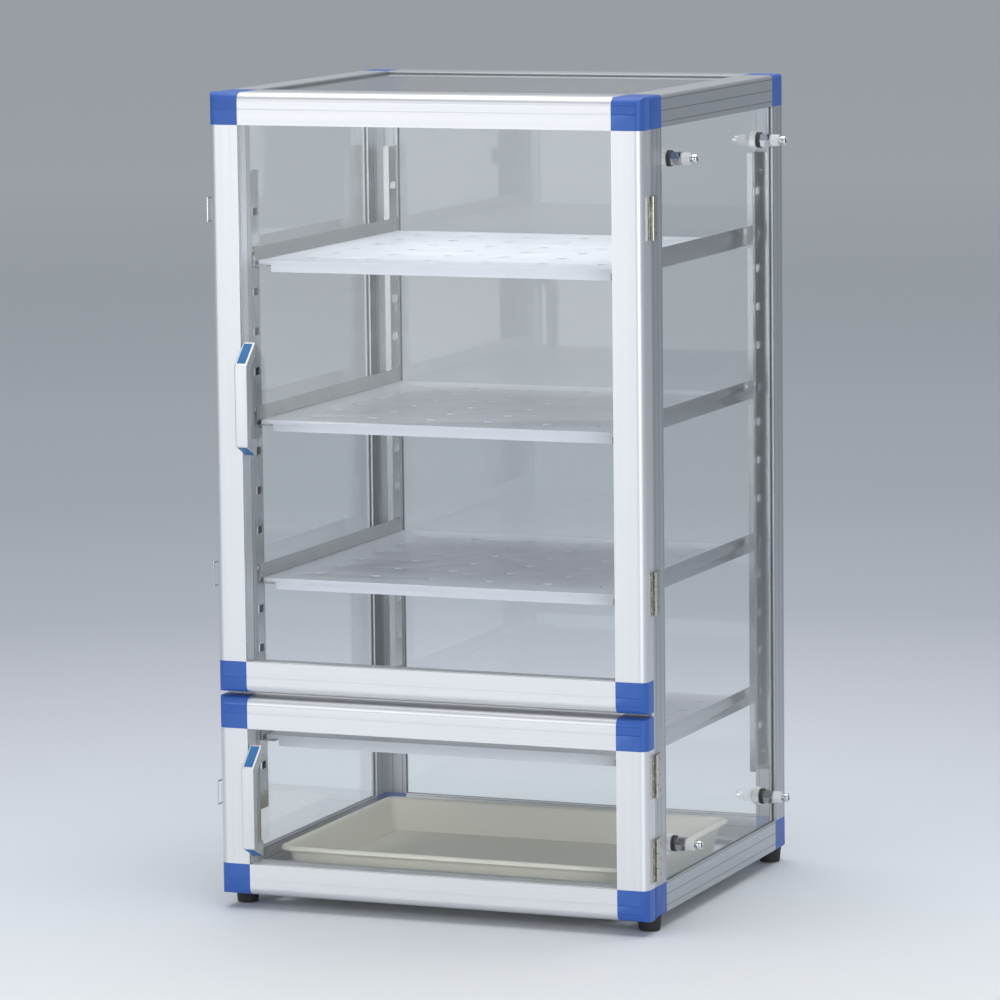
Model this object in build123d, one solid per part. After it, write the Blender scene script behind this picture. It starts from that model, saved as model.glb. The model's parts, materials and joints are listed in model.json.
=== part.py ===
from build123d import *
import os

os.makedirs("parts", exist_ok=True)

# Glass desiccator cabinet with two doors, four lift-out shelves and a drying-agent tray.
# Millimetres. X to the right, Y to the back, Z up.
# The origin is on the floor, at the middle of the footprint of the closed cabinet.

# ---- Overall size ----
WIDTH = 430.0                 # over the frame, without hinges and ports
DEPTH = 390.0                 # door fronts to rear face
HEIGHT = 770.0                # floor to top
FOOT_HEIGHT = 13.0

# ---- Body frame: angle bars joined by corner blocks ----
PROFILE = 30.0                # width of each leg of the angle bar
LEG = 8.0                     # thickness of each leg
BAR_ROUND = 3.0               # outer edge of bars and corner blocks
TENON_THICK = 4.0
TENON_START = 6.0             # from the outer edge of the bar
TENON_WIDTH = 12.0
TENON_LENGTH = 12.0
TENON_SLACK = 0.15
MIDDLE_RAIL_HEIGHT = 40.0     # bar that both doors close against

# ---- Fixed panels and their gaskets ----
PANEL = 3.0
PANEL_SET = 4.0               # panel's middle plane behind the frame's outer face
PANEL_GRIP = 5.0              # how far a panel reaches into the frame
GASKET = 1.0

# ---- Doors ----
DOOR_THICK = 20.0
DOOR_GAP = 1.0                # door frame to body frame, bridged by the seal
DOOR_SPLIT = 4.0              # between the two doors
UPPER_DOOR_HEIGHT = 563.5
DOOR_ROUND = 8.0              # outer front edge of the door frame
LINE_OFFSETS = (7.0, 15.0)    # fine grooves along the door rails, from the outer edge
LINE_WIDTH = 0.7
LINE_DEPTH = 0.4
DOOR_GLASS = 3.0
DOOR_GLASS_RECESS = 3.0
DOOR_GLASS_GRIP = 6.0
DOOR_GLASS_SLACK = 0.2
DOOR_TENON_SPAN = (9.0, 20.0)     # across the bar, from its outer edge
DOOR_TENON_LEVEL = (8.0, 15.0)    # from the door's front face
SEAL_OFFSET = 8.0             # from the door's outer edge
SEAL_WIDTH = 6.0
SEAL_ROOT = 3.0               # depth in the door frame
SEAL_CLEAR = 0.3              # between the seal and the body

# ---- Handles ----
HANDLE_LENGTH = 106.0
HANDLE_WIDTH = 12.4
HANDLE_STAND = 18.0           # grip's front face before the door's front face
HANDLE_GAP = 1.0              # beside the door stile
HANDLE_DROP = 3.5             # handle's middle below the door's middle
HANDLE_TOP_SLANT = 20.0
HANDLE_BOTTOM_SLANT = 10.0
HANDLE_GRIP = 8.0             # thickness of the grip
HANDLE_TOP_POST = 12.5
HANDLE_BOTTOM_POST = 15.5
HANDLE_SCREW_INSET = 8.5      # from the handle's ends
HANDLE_ROUND = 1.2
CAP_THICK = 0.8
CAP_MARGIN = 2.0
HANDLE_SCREW_R = 2.0

# ---- Hinges: butt hinges on the right side face ----
HINGE_HEIGHT = 40.0
HINGE_OUT = 2.5               # pin axis outside the side face
HINGE_LEAF = 1.3
HINGE_PIN_R = 1.1
HINGE_RUN = 0.05              # radial clearance on the pin
KNUCKLE_R = 2.4
KNUCKLE_CLEAR = 0.3
DOOR_KNUCKLE = 13.4           # length of the door's middle knuckle
DOOR_LEAF_REACH = 11.1        # from the pin axis to the leaf's edge
BODY_LEAF_REACH = 15.2
HINGE_SCREW_PITCH = 14.5
UPPER_HINGE_INSET = 110.0     # from the door's top and bottom edges
LOWER_HINGE_INSET = 55.5

# ---- Screws ----
SCREW_R = 1.25
SCREW_LENGTH = 5.0
SCREW_HEAD_R = 2.2
SCREW_HEAD = 1.0
HANDLE_HEAD_R = 4.0
HANDLE_HEAD = 2.0

# ---- Shelf pillars and brackets ----
SHEET = 1.2                   # steel of pillars and brackets
PILLAR_WEB = 20.0             # width of the slotted face
PILLAR_INSET = 1.0            # slotted face behind the edge of the front opening
LONG_FLANGE = 14.0
SHORT_FLANGE = 5.6
PILLAR_BOTTOM = 90.0
PILLAR_LENGTH = 605.0
SLOT_PITCH = 37.5
SLOT_COUNT = 15
SLOT_TOP = 38.5               # first slot's middle below the pillar's top
SLOT_WIDTH = 12.5
SLOT_HEIGHT = 7.0
PILLAR_SCREW_INSET = 18.0     # from the pillar's ends
PILLAR_SCREW_OUT = 7.5        # from the slotted face
SHELF_SLOTS = (14, 10, 6, 2)  # slots that carry shelf 1, at the bottom, to shelf 4, at the top
BRACKET_HEIGHT = 18.0
BRACKET_LEDGE = 14.0
BRACKET_PAST_SLOT = 4.0       # front end before the front slot's middle
BRACKET_REAR_CLEAR = 2.0
HOOK_WIDTH = 10.0
HOOK_THICK = 3.0
HOOK_DROP = 3.0
HOOK_CLEAR = 0.2

# ---- Shelves ----
SHELF_BELOW_SLOT = 8.0        # shelf's top face below the slot's middle
SHELF_PLATE = 4.0
SHELF_LIP = 10.5              # height of the shelf's edge
SHELF_LIP_THICK = 3.0
SHELF_LIP_INSET = 14.0
SHELF_SIDE_CLEAR = 1.0
SHELF_ROUND = 3.0
SHELF_FRONT_CLEAR = 9.5       # behind the body's front bars
SHELF_HOLES = 6
SHELF_HOLE = 9.0
SHELF_PITCH_X = 58.0
SHELF_PITCH_Y = 51.5

# ---- Drying-agent tray ----
TRAY_SIDE_CLEAR = 7.0         # rim to the edge of the frame's opening
TRAY_FRONT_CLEAR = 3.0
TRAY_LENGTH = 268.0
TRAY_HEIGHT = 31.5
TRAY_TAPER = 12.0             # degrees
TRAY_WALL = 2.0
TRAY_ROUND = 14.0
TRAY_RIM = 4.0
TRAY_RIM_THICK = 3.0

# ---- Tube ports on the right panel ----
PORT_INSET = 60.0             # from the body's front, rear, top and bottom
PORT_HEX = 12.0               # across flats
PORT_HEX_LENGTH = 10.0
PORT_SPIGOT_R = 4.2
PORT_SPIGOT_LENGTH = 15.0
PORT_STEM_R = 5.0
PORT_STEM_LENGTH = 14.0
PORT_BORE_R = 2.0
PORT_RING_R = 7.5
PORT_RING = 1.5
PORT_HOLE_SLACK = 0.2
PORT_THREAD_GAP = 0.05
PORT_NUT = 16.0
PORT_NUT_THICK = 6.0
COLLAR_R = 5.5
COLLAR_LENGTH = 8.0
COLLAR_RUN = 0.05
COLLAR_START = 0.3            # from the hexagon

# ---- Toggle latches on the left side face ----
LATCH_HEIGHT = 23.0
LATCH_SHEET = 1.2
LATCH_BASE_START = 2.0        # behind the body's front face
LATCH_BASE_LENGTH = 28.0
LATCH_EAR = 1.5
LATCH_EAR_AT = 8.5            # inner face of each ear from the latch's middle
LATCH_EAR_OUT = 5.0
LATCH_EAR_LENGTH = 6.0
LATCH_PIVOT = (3.5, 6.0)      # lever pivot: out of the side face, behind the body's front face
LATCH_PIN_R = 0.9
LATCH_RUN = 0.05
LEVER_LENGTH = 19.0
LEVER_LEVEL = (4.4, 5.6)      # lever plate, out of the side face
LEVER_HALF = 8.2
LEVER_BOSS_R = 1.9
BAIL_PIVOT = (3.2, 15.0)      # bail pivot when latched: out, and behind the body's front face
BAIL_BOSS_R = 1.7
BAIL_WIRE_R = 0.8
BAIL_HALF = 11.0              # side wires from the latch's middle
BAIL_LENGTH = 26.3
BAIL_DIP = 0.6                # crossbar nearer the side face than the pivot when latched
LATCH_REST = 14.0             # degrees the lever stands open from latched
BAIL_RATIO = -1.2             # bail's turn for each turn of its lever
STRIKE_HALF = 8.0
STRIKE_PLATE = (2.0, 12.9)    # before the body's front face
STRIKE_LIP = 2.2
STRIKE_CLEAR = 0.3

# ---- Feet ----
FOOT_TOP_R = 11.25
FOOT_BOTTOM_R = 10.0
FOOT_INSET_X = 11.5
FOOT_INSET_Y = 14.5
FOOT_SINK_R = 4.0
FOOT_SINK = 7.0
FOOT_SCREW_LENGTH = 12.0

# ---- Cutting ----
PAST = 1.0                    # how far a cut runs past the face it opens

# ---- Worked out ----
HALF_W = WIDTH / 2
DOOR_FRONT = -DEPTH / 2
DOOR_BACK = DOOR_FRONT + DOOR_THICK
BODY_FRONT = DOOR_BACK + DOOR_GAP
BODY_REAR = DEPTH / 2
BODY_MID_Y = (BODY_FRONT + BODY_REAR) / 2
BODY_SIZE = (WIDTH, BODY_REAR - BODY_FRONT, HEIGHT - FOOT_HEIGHT)
BODY_MID_Z = FOOT_HEIGHT + BODY_SIZE[2] / 2
OPENING_HALF = HALF_W - PROFILE
UPPER_DOOR = (HEIGHT - UPPER_DOOR_HEIGHT, HEIGHT)
LOWER_DOOR = (FOOT_HEIGHT, UPPER_DOOR[0] - DOOR_SPLIT)
SPLIT_Z = UPPER_DOOR[0] - DOOR_SPLIT / 2
HINGE_X = HALF_W + HINGE_OUT
HINGE_Y = BODY_FRONT - DOOR_GAP / 2
HANDLE_X = (-OPENING_HALF + HANDLE_GAP, -OPENING_HALF + HANDLE_GAP + HANDLE_WIDTH)
HANDLE_OUT = HANDLE_STAND + DOOR_GLASS_RECESS
HANDLE_BASE_Y = DOOR_FRONT + DOOR_GLASS_RECESS
FLOOR_TOP = FOOT_HEIGHT + PANEL_SET + PANEL / 2
PILLAR_FACE = OPENING_HALF + PILLAR_INSET
PILLAR_FRONT = BODY_FRONT + LEG
PILLAR_REAR = BODY_REAR - LEG
PILLAR_TOP = PILLAR_BOTTOM + PILLAR_LENGTH
SLOT_FRONT_Y = PILLAR_FRONT + PILLAR_WEB / 2
SLOT_REAR_Y = PILLAR_REAR - PILLAR_WEB / 2
SHELF_FRONT = PILLAR_FRONT + SHELF_FRONT_CLEAR
SHELF_REAR = PILLAR_REAR - BRACKET_REAR_CLEAR
SHELF_HALF = PILLAR_FACE - SHEET - SHELF_SIDE_CLEAR
PORT_FACE = HALF_W - PANEL_SET + PANEL / 2
PORT_INSIDE = PORT_FACE - PANEL
PORT_PLACES = [
    (y, z)
    for y in (BODY_FRONT + PORT_INSET, BODY_REAR - PORT_INSET)
    for z in (FOOT_HEIGHT + PORT_INSET, HEIGHT - PORT_INSET)
]
DOORS = {
    "upper_door": (UPPER_DOOR, UPPER_HINGE_INSET),
    "lower_door": (LOWER_DOOR, LOWER_HINGE_INSET),
}
LATCH_LEVELS = (
    (LOWER_DOOR[0] + LOWER_DOOR[1]) / 2,
    UPPER_DOOR[0] + UPPER_HINGE_INSET,
    UPPER_DOOR[1] - UPPER_HINGE_INSET,
)


# ---- Small tools ----
def block(x, y, z):
    """Box between the (low, high) pairs x, y and z."""
    pairs = (x, y, z)
    middle = [(low + high) / 2 for low, high in pairs]
    return Pos(*middle) * Box(*[high - low for low, high in pairs])


def rod(along, at, radius, span):
    """Cylinder along an axis; at is its place in the other two coordinates, in order."""
    middle = (span[0] + span[1]) / 2
    length = span[1] - span[0]
    if along == "x":
        return Pos(middle, at[0], at[1]) * Rot(0, 90, 0) * Cylinder(radius, length)
    if along == "y":
        return Pos(at[0], middle, at[1]) * Rot(90, 0, 0) * Cylinder(radius, length)
    return Pos(at[0], at[1], middle) * Cylinder(radius, length)


def flip_x(shape):
    return mirror(shape, about=Plane.YZ)


def flip_y(shape):
    return mirror(shape, about=Plane(origin=(0, BODY_MID_Y, 0), z_dir=(0, 1, 0)))


def flip_z(shape, level=BODY_MID_Z):
    return mirror(shape, about=Plane(origin=(0, 0, level), z_dir=(0, 0, 1)))


def both(shape, flip):
    return [shape, flip(shape)]


def on_four_corners(shape):
    """A front left shape and its copies in the other three corners."""
    left = both(shape, flip_y)
    return left + [flip_x(piece) for piece in left]


def save(name, *shapes):
    """Write one node's solids to its own file."""
    solids = [solid for shape in shapes for solid in shape.solids()]
    export_step(Compound(solids), f"parts/{name}.step")


# ---- Screws ----
def screw_hole(along, at, face, away, length=SCREW_LENGTH):
    """Hole that a screw fills from its head's seat down; away is +1 or -1, the head's direction."""
    return rod(along, at, SCREW_R, sorted((face, face - away * length)))


def screw(along, at, face, away, length=SCREW_LENGTH):
    """Pan-head screw whose head sits on a face."""
    head = rod(along, at, SCREW_HEAD_R, sorted((face, face + away * SCREW_HEAD)))
    return head + screw_hole(along, at, face, away, length)


def body_hinge_screws():
    """Places of the screws through the body leaves of all hinges."""
    y = HINGE_Y + BODY_LEAF_REACH - (BODY_LEAF_REACH - KNUCKLE_R) / 2
    for door, inset in DOORS.values():
        for level in hinge_levels(door, inset):
            for screw_z in hinge_screw_levels(level):
                yield "x", (y, screw_z), HALF_W + HINGE_LEAF, 1


def pillar_screws():
    """Places of the screws through the front left pillar's long flange."""
    for level in (PILLAR_BOTTOM + PILLAR_SCREW_INSET, PILLAR_TOP - PILLAR_SCREW_INSET):
        yield "y", (-PILLAR_FACE - PILLAR_SCREW_OUT, level), PILLAR_FRONT + SHEET, 1


def foot_screw():
    """Place of the screw up through the front left foot."""
    at = (-HALF_W + FOOT_INSET_X, BODY_FRONT + FOOT_INSET_Y)
    return "z", at, FOOT_SINK, -1, FOOT_SCREW_LENGTH


def drilled(piece, places):
    for place in places:
        piece -= screw_hole(*place)
    return piece


# ---- Body frame, built from one corner ----
# Corner coordinates are distances inwards from the left, front and bottom faces.
def to_body(shape):
    return Pos(-HALF_W, BODY_FRONT, FOOT_HEIGHT) * shape


def tenon(along, slack=0.0):
    """Tongue of a corner block that holds the angle bar along one axis."""
    reach = (PROFILE - slack, PROFILE + TENON_LENGTH + slack)
    thin = ((LEG - TENON_THICK) / 2 - slack, (LEG + TENON_THICK) / 2 + slack)
    wide = (TENON_START - slack, TENON_START + TENON_WIDTH + slack)
    spans = {"x": (reach, thin, wide), "y": (thin, reach, wide), "z": (thin, wide, reach)}
    return block(*spans[along])


def panel_box(facing, grow=0.0):
    """Panel that faces along an axis, or its pocket when it is grown by the gasket."""
    low = PROFILE - PANEL_GRIP - grow
    spans = [(low, size - low) for size in BODY_SIZE]
    half = PANEL / 2 + grow
    spans["xyz".index(facing)] = (PANEL_SET - half, PANEL_SET + half)
    return block(*spans)


def pockets(shape, rear):
    """Cut the glazing pockets into a bar or corner block."""
    for facing in ("x", "y", "z") if rear else ("x", "z"):
        shape -= panel_box(facing, GASKET)
    return shape


def angle_bar(along, rear=False):
    """Angle bar between two corner blocks."""
    index = "xyz".index(along)
    length = BODY_SIZE[index]
    outer = [(0, PROFILE)] * 3
    inner = [(LEG, 2 * PROFILE)] * 3
    outer[index] = (PROFILE, length - PROFILE)
    inner[index] = (0, length)
    bar = block(*outer)
    axis = (Axis.X, Axis.Y, Axis.Z)[index]
    corner = bar.edges().filter_by(axis).sort_by(lambda edge: sum(edge.center()))[0]
    bar = fillet(corner, BAR_ROUND) - block(*inner)
    socket = tenon(along, TENON_SLACK)
    middle = [0, 0, 0]
    middle[index] = length / 2
    far_socket = mirror(socket, about=Plane(origin=middle, z_dir=axis.direction))
    return to_body(pockets(bar - socket - far_socket, rear))


def corner_block(rear=False):
    """Three-way corner shell with a tenon into each of its bars."""
    shell = block(*[(0, PROFILE)] * 3)
    outer = shell.vertices().sort_by(lambda vertex: sum(vertex.center()))[0]
    near = [edge for edge in shell.edges() if outer in edge.vertices()]
    shell = fillet(near, BAR_ROUND) - block(*[(LEG, 2 * PROFILE)] * 3)
    for along in "xyz":
        shell += tenon(along)
    return to_body(pockets(shell, rear))


def panel_gasket(facing):
    """Channel of rubber round a panel's edge, filling its pocket."""
    window = [(PROFILE, size - PROFILE) for size in BODY_SIZE]
    window["xyz".index(facing)] = (-PROFILE, PROFILE)
    return to_body(panel_box(facing, GASKET) - panel_box(facing) - block(*window))


def middle_rail():
    half = MIDDLE_RAIL_HEIGHT / 2
    y = (BODY_FRONT, BODY_FRONT + LEG)
    return block((-OPENING_HALF, OPENING_HALF), y, (SPLIT_Z - half, SPLIT_Z + half))


def make_body():
    front_post = drilled(angle_bar("z"), pillar_screws())
    rear_post = flip_y(drilled(angle_bar("z", rear=True), pillar_screws()))
    save("front_posts", front_post, drilled(flip_x(front_post), body_hinge_screws()))
    save("rear_posts", *both(rear_post, flip_x))

    front_rail = angle_bar("x")
    rear_rail = flip_y(angle_bar("x", rear=True))
    side_rail = angle_bar("y")
    bottom = [front_rail, rear_rail, side_rail, flip_x(side_rail)]
    save("bottom_rails", *bottom)
    save("top_rails", *[flip_z(rail) for rail in bottom])

    front_block = corner_block()
    rear_block = flip_y(corner_block(rear=True))
    left_blocks = [front_block, rear_block]
    blocks = left_blocks + [flip_x(piece) for piece in left_blocks]
    upper_blocks = [flip_z(piece) for piece in blocks]
    for hole in on_four_corners(screw_hole(*foot_screw())):
        blocks = [piece - hole for piece in blocks]
    blocks = [drilled(piece, body_hinge_screws()) for piece in blocks]
    save("body_corner_blocks", *blocks, *upper_blocks)

    save("middle_rail", middle_rail())

    left = to_body(panel_box("x"))
    right = flip_x(left)
    for y, z in PORT_PLACES:
        through = (PORT_INSIDE - PAST, PORT_FACE + PAST)
        right -= rod("x", (y, z), PORT_STEM_R + PORT_HOLE_SLACK, through)
    floor = to_body(panel_box("z"))
    save("left_panel", left)
    save("right_panel", right)
    save("rear_panel", flip_y(to_body(panel_box("y"))))
    save("bottom_panel", floor)
    save("top_panel", flip_z(floor))
    save(
        "panel_gaskets",
        *both(panel_gasket("x"), flip_x),
        *both(panel_gasket("z"), flip_z),
        flip_y(panel_gasket("y")),
    )


# ---- Feet ----
def make_feet():
    x, y = foot_screw()[1]
    foot = Pos(x, y, FOOT_HEIGHT / 2) * Cone(FOOT_BOTTOM_R, FOOT_TOP_R, FOOT_HEIGHT)
    foot -= rod("z", (x, y), FOOT_SINK_R, (-PAST, FOOT_SINK))
    foot -= rod("z", (x, y), SCREW_R, (0, FOOT_HEIGHT + PAST))
    save("feet", *on_four_corners(foot))


# ---- Shelf pillars, brackets and shelves ----
def slot_level(number):
    """Height of a slot's middle, counted from 1 at the top."""
    return PILLAR_TOP - SLOT_TOP - (number - 1) * SLOT_PITCH


def pillar():
    """Front left U-channel, slotted face towards the middle of the cabinet."""
    face = -PILLAR_FACE
    y = (PILLAR_FRONT, PILLAR_FRONT + PILLAR_WEB)
    z = (PILLAR_BOTTOM, PILLAR_TOP)
    channel = block((face - SHEET, face), y, z)
    channel += block((face - LONG_FLANGE, face), (y[0], y[0] + SHEET), z)
    channel += block((face - SHORT_FLANGE, face), (y[1] - SHEET, y[1]), z)
    half_width = SLOT_WIDTH / 2
    half_height = SLOT_HEIGHT / 2
    for number in range(1, SLOT_COUNT + 1):
        level = slot_level(number)
        channel -= block(
            (face - 2 * SHEET, face + SHEET),
            (SLOT_FRONT_Y - half_width, SLOT_FRONT_Y + half_width),
            (level - half_height, level + half_height),
        )
    return channel


def shelf_top(number):
    """Top face of a shelf, counted from 1 at the bottom."""
    return slot_level(SHELF_SLOTS[number - 1]) - SHELF_BELOW_SLOT


def left_bracket(number):
    """Angle that hooks into a front and a rear pillar and carries one side of a shelf."""
    face = -PILLAR_FACE
    bottom = shelf_top(number) - SHELF_PLATE - SHEET
    y = (SLOT_FRONT_Y - BRACKET_PAST_SLOT, SHELF_REAR)
    bracket = block((face, face + SHEET), y, (bottom, bottom + BRACKET_HEIGHT))
    bracket += block((face, face + BRACKET_LEDGE), y, (bottom, bottom + SHEET))
    slot_bottom = slot_level(SHELF_SLOTS[number - 1]) - SLOT_HEIGHT / 2
    inner = face - SHEET - HOOK_CLEAR
    for hook_y in (SLOT_FRONT_Y, SLOT_REAR_Y):
        low = max(y[0], hook_y - HOOK_WIDTH / 2)
        width = (low, hook_y + HOOK_WIDTH / 2)
        tongue = (slot_bottom + HOOK_CLEAR, slot_bottom + HOOK_CLEAR + HOOK_THICK)
        bracket += block((inner - SHEET, face), width, tongue)
        bracket += block((inner - SHEET, inner), width, (slot_bottom - HOOK_DROP, tongue[1]))
    return bracket


def shelf(number):
    """Perforated shelf with a turned-down edge set in from its ends."""
    top = shelf_top(number)
    y = (SHELF_FRONT, SHELF_REAR)
    plate = block((-SHELF_HALF, SHELF_HALF), y, (top - SHELF_PLATE, top))
    plate = fillet(plate.edges().filter_by(Axis.Z), SHELF_ROUND)
    lip_half = SHELF_HALF - SHELF_LIP_INSET
    under = (top - SHELF_LIP, top - SHELF_PLATE)
    lip = block((-lip_half, lip_half), y, under)
    inner_y = (y[0] + SHELF_LIP_THICK, y[1] - SHELF_LIP_THICK)
    inner_half = lip_half - SHELF_LIP_THICK
    plate += lip - block((-inner_half, inner_half), inner_y, under)
    middle_y = (SHELF_FRONT + SHELF_REAR) / 2
    with_holes = GridLocations(SHELF_PITCH_X, SHELF_PITCH_Y, SHELF_HOLES, SHELF_HOLES)
    punch = Box(SHELF_HOLE, SHELF_HOLE, 3 * SHELF_PLATE)
    for place in with_holes:
        plate -= Pos(0, middle_y, top) * place * punch
    return plate


def make_shelving():
    save("shelf_pillars", *on_four_corners(drilled(pillar(), pillar_screws())))

    numbers = range(1, len(SHELF_SLOTS) + 1)
    brackets = [left_bracket(number) for number in numbers]
    save("left_brackets", *brackets)
    save("right_brackets", *[flip_x(piece) for piece in brackets])
    for number in numbers:
        save(f"shelf_{number}", shelf(number))


# ---- Tray ----
def make_tray():
    """Tapered tray with rounded corners and a rim, standing on the bottom panel."""
    rim_x = 2 * (OPENING_HALF - TRAY_SIDE_CLEAR)
    front = BODY_FRONT + PROFILE + TRAY_FRONT_CLEAR
    middle_y = front + TRAY_LENGTH / 2
    mouth_x = rim_x - 2 * TRAY_RIM
    mouth_y = TRAY_LENGTH - 2 * TRAY_RIM
    top = Pos(0, middle_y, FLOOR_TOP + TRAY_HEIGHT)
    outer = extrude(
        RectangleRounded(mouth_x, mouth_y, TRAY_ROUND), amount=-TRAY_HEIGHT, taper=TRAY_TAPER
    )
    inner = extrude(
        RectangleRounded(mouth_x - 2 * TRAY_WALL, mouth_y - 2 * TRAY_WALL, TRAY_ROUND - TRAY_WALL),
        amount=TRAY_WALL - TRAY_HEIGHT,
        taper=TRAY_TAPER,
    )
    edge = RectangleRounded(rim_x, TRAY_LENGTH, TRAY_ROUND + TRAY_RIM)
    rim = extrude(edge, amount=-TRAY_RIM_THICK)
    save("tray", top * (outer + rim - inner))


# ---- Doors, built from one corner ----
# Corner coordinates are distances inwards from the door's left, front and bottom edges.
def to_door(shape, door):
    return Pos(-HALF_W, DOOR_FRONT, door[0]) * shape


def door_stick(along, span):
    """Length of the door frame's section along X or Z."""
    upright = along == "z"
    across = (0, PROFILE)
    thick = (0, DOOR_THICK)
    stick = block(across, thick, span) if upright else block(span, thick, across)
    axis = Axis.Z if upright else Axis.X
    edge = stick.edges().filter_by(axis).sort_by(lambda one: sum(one.center()))[0]
    stick = fillet(edge, DOOR_ROUND)
    if not upright:
        for offset in LINE_OFFSETS:
            stick -= block(span, (-PAST, LINE_DEPTH), (offset, offset + LINE_WIDTH))
    return stick


def door_tenon(along, slack=0.0):
    reach = (PROFILE - slack, PROFILE + TENON_LENGTH + slack)
    across = (DOOR_TENON_SPAN[0] - slack, DOOR_TENON_SPAN[1] + slack)
    level = (DOOR_TENON_LEVEL[0] - slack, DOOR_TENON_LEVEL[1] + slack)
    return block(across, level, reach) if along == "z" else block(reach, level, across)


def door_pane(height, slack=0.0):
    edge = PROFILE - DOOR_GLASS_GRIP - slack
    y = (DOOR_GLASS_RECESS - slack, DOOR_GLASS_RECESS + DOOR_GLASS + slack)
    return block((edge, WIDTH - edge), y, (edge, height - edge))


def door_seal(height):
    """Sealing ring in the door's rear face, standing proud towards the body."""
    inner = SEAL_OFFSET + SEAL_WIDTH
    y = (DOOR_THICK - SEAL_ROOT, DOOR_THICK + DOOR_GAP - SEAL_CLEAR)
    outer = SEAL_OFFSET
    ring = block((outer, WIDTH - outer), y, (outer, height - outer))
    return ring - block((inner, WIDTH - inner), y, (inner, height - inner))


def hinge_levels(door, inset):
    return (door[0] + inset, door[1] - inset)


def hinge_screw_levels(level):
    return (level - HINGE_SCREW_PITCH, level, level + HINGE_SCREW_PITCH)


def door_leaf_screw_y():
    return HINGE_Y - DOOR_LEAF_REACH + (DOOR_LEAF_REACH - KNUCKLE_R) / 2


def knuckle(z):
    tube = rod("z", (HINGE_X, HINGE_Y), KNUCKLE_R, z)
    return tube - rod("z", (HINGE_X, HINGE_Y), HINGE_PIN_R + HINGE_RUN, z)


def door_leaf(level):
    """Hinge leaf on the door's side face, with the middle knuckle."""
    x = (HALF_W, HALF_W + HINGE_LEAF)
    z = (level - HINGE_HEIGHT / 2, level + HINGE_HEIGHT / 2)
    far = HINGE_Y - DOOR_LEAF_REACH
    near = HINGE_Y - KNUCKLE_R - KNUCKLE_CLEAR
    tab = (level - DOOR_KNUCKLE / 2, level + DOOR_KNUCKLE / 2)
    leaf = block(x, (far, near), z)
    bore = rod("z", (HINGE_X, HINGE_Y), HINGE_PIN_R + HINGE_RUN, tab)
    leaf += block(x, (near, HINGE_Y), tab) - bore
    leaf += knuckle(tab)
    for screw_z in hinge_screw_levels(level):
        leaf -= rod("x", (door_leaf_screw_y(), screw_z), SCREW_R, (HALF_W - PAST, x[1] + PAST))
    return leaf


def body_leaf(level):
    """Hinge leaf on the body's side face, with the outer knuckles."""
    x = (HALF_W, HALF_W + HINGE_LEAF)
    half = HINGE_HEIGHT / 2
    gap = DOOR_KNUCKLE / 2 + KNUCKLE_CLEAR
    near = HINGE_Y + KNUCKLE_R + KNUCKLE_CLEAR
    leaf = block(x, (near, HINGE_Y + BODY_LEAF_REACH), (level - half, level + half))
    for tab in ((level - half, level - gap), (level + gap, level + half)):
        bore = rod("z", (HINGE_X, HINGE_Y), HINGE_PIN_R + HINGE_RUN, tab)
        leaf += block(x, (HINGE_Y, near), tab) - bore
        leaf += knuckle(tab)
    return drilled(leaf, body_hinge_screws())


def handle_middle(door):
    return (door[0] + door[1]) / 2 - HANDLE_DROP


def handle_screw_levels(door):
    bottom = handle_middle(door) - HANDLE_LENGTH / 2
    return (bottom + HANDLE_SCREW_INSET, bottom + HANDLE_LENGTH - HANDLE_SCREW_INSET)


def handle_prism(points, x, door):
    """Solid with an outline of (out of the glass, up from the handle's end) points."""
    bottom = handle_middle(door) - HANDLE_LENGTH / 2
    outline = [(x[0], HANDLE_BASE_Y - out, bottom + up) for out, up in points]
    side = Face(Wire.make_polygon([Vector(*point) for point in outline], close=True))
    return Solid.extrude(side, Vector(x[1] - x[0], 0, 0))


def handle(door):
    """Bridge handle with slanted ends."""
    length = HANDLE_LENGTH
    outer = [
        (0, 0),
        (HANDLE_OUT, HANDLE_BOTTOM_SLANT),
        (HANDLE_OUT, length - HANDLE_TOP_SLANT),
        (0, length),
    ]
    depth = HANDLE_OUT - HANDLE_GRIP
    slope = HANDLE_TOP_SLANT / HANDLE_OUT
    inner_top = length - HANDLE_TOP_POST
    inner = [
        (-PAST, HANDLE_BOTTOM_POST),
        (depth, HANDLE_BOTTOM_POST),
        (depth, inner_top - slope * depth),
        (-PAST, inner_top + slope * PAST),
    ]
    bridge = handle_prism(outer, HANDLE_X, door)
    off_glass = bridge.edges().filter_by(lambda edge: edge.center().Y < HANDLE_BASE_Y - PAST)
    window = handle_prism(inner, (HANDLE_X[0] - PAST, HANDLE_X[1] + PAST), door)
    return fillet(off_glass, HANDLE_ROUND) - window


def handle_caps(door):
    """Coloured plates on the handle's two slanted ends."""
    x = (HANDLE_X[0] + CAP_MARGIN, HANDLE_X[1] - CAP_MARGIN)
    near = CAP_MARGIN
    far = HANDLE_OUT - CAP_MARGIN
    top_slope = HANDLE_TOP_SLANT / HANDLE_OUT
    bottom_slope = HANDLE_BOTTOM_SLANT / HANDLE_OUT
    top = [(out, HANDLE_LENGTH - top_slope * out) for out in (near, far)]
    top += [(out, up + CAP_THICK) for out, up in reversed(top)]
    bottom = [(out, bottom_slope * out) for out in (near, far)]
    bottom += [(out, up - CAP_THICK) for out, up in reversed(bottom)]
    return [handle_prism(points, x, door) for points in (top, bottom)]


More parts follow.
